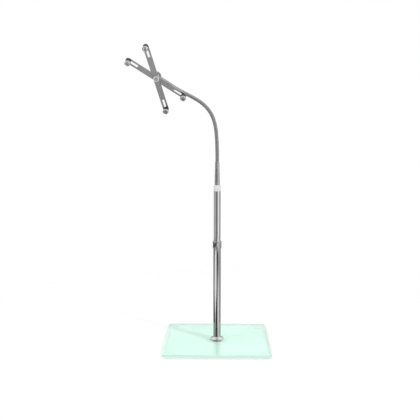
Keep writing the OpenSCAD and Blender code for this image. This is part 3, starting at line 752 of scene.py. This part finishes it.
glass_slab()
feet()
flange()
tube("lower_tube", LOWER_BORE, LOWER_R, POLE_Z, LOWER_TOP, "base", "lower_pole")
collar()
tube("upper_tube", UPPER_BORE, UPPER_R, UPPER_Z, UPPER_TOP, "upper_pole", "upper_pole")
adapter()
ferrule()
gooseneck()
tip_sleeve()
housing()
lock_ring()
stud()
nut()
arm("rear_bar", "arm_rear", REAR_Z, REAR_REACH, REAR_ANGLE)
arm("front_bar", "arm_front", FRONT_Z, FRONT_REACH, FRONT_ANGLE)
for side, (arm_z, reach, angle) in PEGS.items():
    at_peg = AT_HOLDER @ turn("Z", angle) @ shift(reach, 0, 0)
    peg(side, at_peg, arm_z - SLIDE)
    grip(side, at_peg, arm_z + ARM_T + SLIDE)
    knob(side, at_peg)

# Solids that stay as they are
KEPT = {
    "under_gasket": GASKET, "clamp_washer": ZINC, "base_bolt": ZINC, "glass_bush": WHITE,
    "flange_gasket": GASKET, "pole_plug": STEEL, "collet": WHITE, "pole_glide": WHITE,
    "pole_spool": WHITE, "spool_pin": STEEL, "neck_set_screw": STEEL, "housing_grub": STEEL,
    "pivot_washers": WHITE,
}
for name, mat in KEPT.items():
    nodes[name].data.materials.clear()
    nodes[name].data.materials.append(mat)


# Stage

FLOOR_SIZE, FLOOR_Z, FLOOR_LIFT = 3.0, -0.0002, 0.18
FADE_START, FADE_END = 0.55, 1.3
AMBIENT = 0.80
WHITE_LIGHT = (1, 1, 1, 1)


def plain_sight(tree):
    """Value that is 1 for what the camera, mirrors and glass see, and 0 for light that surfaces scatter."""
    path = tree.nodes.new("ShaderNodeLightPath")
    seen = path.outputs["Is Camera Ray"]
    for ray in ("Is Glossy Ray", "Is Transmission Ray"):
        either = tree.nodes.new("ShaderNodeMath")
        either.operation = "MAXIMUM"
        tree.links.new(seen, either.inputs[0])
        tree.links.new(path.outputs[ray], either.inputs[1])
        seen = either.outputs[0]
    return seen


def mirrored(tree):
    """Value that is 1 for what a mirror shows, also through glass."""
    once = tree.nodes.new("ShaderNodeMath")
    once.operation = "GREATER_THAN"
    tree.links.new(tree.nodes.new("ShaderNodeLightPath").outputs["Glossy Depth"], once.inputs[0])
    once.inputs[1].default_value = 0.5
    return once.outputs[0]


def floor_white():
    """White that holds the shadow near the stand, fades out further away and doesn't show in mirrors."""
    paint = Paint("pale_floor", Roughness=0.9, Specular_IOR_Level=0.0)
    paint.colour(paint.noise(3.0, 2.0), ((0.3, grey(0.90)), (0.7, grey(0.92))))
    away = paint.node("ShaderNodeVectorMath", operation="LENGTH")
    paint.link(paint.place, away.inputs[0])
    fade = paint.node("ShaderNodeMapRange", From_Min=FADE_START, From_Max=FADE_END)
    paint.link(away.outputs["Value"], fade.inputs["Value"])
    lift = paint.node("ShaderNodeEmission", Color=WHITE_LIGHT)
    level = paint.node("ShaderNodeMath", operation="MULTIPLY")
    level.inputs[1].default_value = FLOOR_LIFT
    paint.link(plain_sight(paint.tree), level.inputs[0])
    paint.link(level.outputs[0], lift.inputs["Strength"])
    both = paint.node("ShaderNodeAddShader")
    paint.link(paint.shader.outputs[0], both.inputs[0])
    paint.link(lift.outputs[0], both.inputs[1])
    clear, mix = paint.node("ShaderNodeBsdfTransparent"), paint.node("ShaderNodeMixShader")
    unseen = paint.node("ShaderNodeMath", operation="MAXIMUM")
    paint.link(fade.outputs["Result"], unseen.inputs[0])
    paint.link(mirrored(paint.tree), unseen.inputs[1])
    paint.link(unseen.outputs[0], mix.inputs[0])
    paint.link(both.outputs[0], mix.inputs[1])
    paint.link(clear.outputs[0], mix.inputs[2])
    paint.link(mix.outputs[0], paint.out.inputs["Surface"])
    return paint.mat


def floor():
    """Flat floor under the stand."""
    h = FLOOR_SIZE / 2
    mesh = bpy.data.meshes.new("floor")
    mesh.from_pydata([(-h, -h, 0), (h, -h, 0), (h, h, 0), (-h, h, 0)], [], [(0, 1, 2, 3)])
    mesh.materials.append(floor_white())
    obj = bpy.data.objects.new("floor", mesh)
    obj.location = (0, 0, FLOOR_Z)
    bpy.context.scene.collection.objects.link(obj)


def lamp(name, location, target, size, power):
    """Round lamp aimed at a point, which metal doesn't mirror."""
    data = bpy.data.lights.new(name, "AREA")
    data.shape, data.size, data.energy = "DISK", size, power
    obj = bpy.data.objects.new(name, data)
    obj.location = location
    obj.rotation_euler = (Vector(target) - Vector(location)).to_track_quat("-Z", "Y").to_euler()
    obj.visible_glossy = False
    bpy.context.scene.collection.objects.link(obj)


def upright(low, high, left, right):
    """Rows of a card with upright sides."""
    return (low, left, right), (high, left, right)


# Far grey cards of the studio, which only mirrors show; each sits at the rises that one part of the stand
# mirrors towards the camera, so they are painted reflections for those parts. Each has rows of (rise, left,
# right) in degrees, from the lowest up, its level, and how soft its lower and upper ends are.
CARD_EDGE, HARD, SIDE = 10.0, 0.1, 112
CARD_FOOT, COLLAR_FOOT, COLLAR_HEAD, TUBE_HEAD, NECK_HEAD = -40, -12.35, -11.6, -5, 5
FRONT_CARDS = (
    # Lower tube
    (((CARD_FOOT, -SIDE, -36), (-19.4, -SIDE, -36), (-18, -SIDE, -60), (-16.2, -SIDE, -78),
      (COLLAR_FOOT, -SIDE, -68)), 0.12, 8, HARD),
    (((CARD_FOOT, -36, 16), (-18, -34, 18), (-16.2, -12, 20), (-14.3, -14, 26),
      (COLLAR_FOOT, -16, 50)), 0.02, 8, HARD),
    (((CARD_FOOT, 58, SIDE), (-16.2, 52, SIDE), (-14.3, 32, SIDE),
      (COLLAR_FOOT, 32, SIDE)), 0.40, 8, HARD),
    # Collar
    (upright(COLLAR_FOOT, COLLAR_HEAD, -SIDE, -5), 0.0, HARD, HARD),
    (upright(COLLAR_FOOT, COLLAR_HEAD, 43, SIDE), 0.60, HARD, HARD),
    # Upper tube
    (upright(COLLAR_HEAD, TUBE_HEAD, -SIDE, -34), 0.50, HARD, 2),
    (upright(COLLAR_HEAD, TUBE_HEAD, -34, 17), 0.18, HARD, 2),
    (upright(COLLAR_HEAD, TUBE_HEAD, 70, SIDE), 0.45, HARD, 2),
    # Gooseneck
    (upright(TUBE_HEAD, NECK_HEAD, -118, -60), 0.50, 2, 4),
    (upright(TUBE_HEAD, NECK_HEAD, -60, 15), 0.12, 2, 4),
    # Pole as the glass mirrors it
    (upright(17.5, 23.5, -40, 40), 0.12, 2, 2),
    # Arms and knobs
    (upright(-80, -50, -60, 60), 0.20, 6, 3),
    # Tubes from above
    (upright(-52, -38, -SIDE, -28), 0.30, 4, 4),
    (upright(-52, -38, 28, 75), 0.15, 4, 4),
    # Cover at the foot of the pole
    (upright(35, 80, -45, 45), 0.45, 12, 10),
)
BACK_CARDS = (
    (upright(-80, 6, -70, -40), 0.25, 10, 8),
    (upright(-80, 6, -12, 12), 0.08, 10, 8),
    (upright(-80, 6, 45, 65), 0.35, 10, 8),
    (upright(-3, 13, -40, 40), 0.12, 4, 4),
)


class Surroundings:
    """The studio: white to the eye and through glass, even for soft light, with the cards for mirrors."""

    def __init__(self):
        world = bpy.data.worlds.new("studio")
        bpy.context.scene.world = world
        world.use_nodes = True
        self.tree = world.node_tree
        split = self.node("ShaderNodeSeparateXYZ")
        self.feed(split.inputs[0], self.node("ShaderNodeTexCoord").outputs["Generated"])
        x, y, z = split.outputs
        self.rise = self.math("DEGREES", self.math("ARCSINE", z))
        front = self.math("ARCTAN2", x, self.math("MULTIPLY", y, -1.0))
        back = self.math("ARCTAN2", self.math("MULTIPLY", x, -1.0), y)
        level = 1.0
        for bearing, cards in ((front, FRONT_CARDS), (back, BACK_CARDS)):
            bearing = self.math("DEGREES", bearing)
            for rows, shade, soft_low, soft_high in cards:
                level = self.blend(level, shade, self.card(bearing, rows, soft_low, soft_high))
        soft_light, sight = self.tree.nodes["Background"], self.node("ShaderNodeBackground")
        soft_light.inputs["Color"].default_value = sight.inputs["Color"].default_value = WHITE_LIGHT
        soft_light.inputs["Strength"].default_value = AMBIENT
        self.feed(sight.inputs["Strength"], self.blend(1.0, level, mirrored(self.tree)))
        mix = self.node("ShaderNodeMixShader")
        self.feed(mix.inputs[0], plain_sight(self.tree))
        self.feed(mix.inputs[1], soft_light.outputs[0])
        self.feed(mix.inputs[2], sight.outputs[0])
        self.feed(self.tree.nodes["World Output"].inputs["Surface"], mix.outputs[0])

    def node(self, kind):
        """New node."""
        return self.tree.nodes.new(kind)

    def feed(self, socket, value):
        """Sets an input to a number or links it."""
        if isinstance(value, (int, float)):
            socket.default_value = value
        else:
            self.tree.links.new(value, socket)

    def math(self, operation, *values):
        """Result of one operation."""
        node = self.node("ShaderNodeMath")
        node.operation = operation
        for socket, value in zip(node.inputs, values):
            self.feed(socket, value)
        return node.outputs[0]

    def ramp(self, value, low, high, kind="LINEAR"):
        """0 below one level, 1 above another."""
        node = self.node("ShaderNodeMapRange")
        node.interpolation_type = kind
        for name, each in (("Value", value), ("From Min", low), ("From Max", high)):
            self.feed(node.inputs[name], each)
        return node.outputs[0]

    def blend(self, first, second, share):
        """First plus share times the difference."""
        return self.math("MULTIPLY_ADD", self.math("SUBTRACT", second, first), share, first)

    def card(self, bearing, rows, soft_low, soft_high):
        """Value that is 1 inside a card and fades at its edges."""
        (bottom, left, right), top = rows[0], rows[-1][0]
        for low, high in zip(rows, rows[1:]):
            up = self.ramp(self.rise, low[0], high[0])
            left = self.math("MULTIPLY_ADD", up, high[1] - low[1], left)
            right = self.math("MULTIPLY_ADD", up, high[2] - low[2], right)
        depths = (
            (self.math("SUBTRACT", bearing, left), CARD_EDGE),
            (self.math("SUBTRACT", right, bearing), CARD_EDGE),
            (self.math("SUBTRACT", self.rise, bottom), soft_low),
            (self.math("SUBTRACT", top, self.rise), soft_high),
        )
        inside = 1.0
        for depth, soft in depths:
            inside = self.math("MULTIPLY", inside, self.ramp(depth, -soft / 2, soft / 2, "SMOOTHSTEP"))
        return inside


floor()
lamp("key", (2.0, -1.6, 2.8), (0, 0, 0.5), 0.5, 22.0)
lamp("fill", (-2.2, -1.4, 2.2), (0, 0, 0.6), 1.6, 8.0)
Surroundings()

# Camera
FOCAL, SENSOR = 51.43, 36.0
EYE, LOOK_DOWN, LOOK_LEFT = (0, -2.230, 0.857), 8.62, 0.6875
camera = bpy.data.cameras.new("camera")
camera.lens, camera.sensor_width = FOCAL, SENSOR
viewer = bpy.data.objects.new("camera", camera)
viewer.location = EYE
viewer.rotation_euler = (math.radians(90 - LOOK_DOWN), 0, math.radians(LOOK_LEFT))
bpy.context.scene.collection.objects.link(viewer)
bpy.context.scene.camera = viewer
bpy.context.scene.view_settings.view_transform = "Standard"
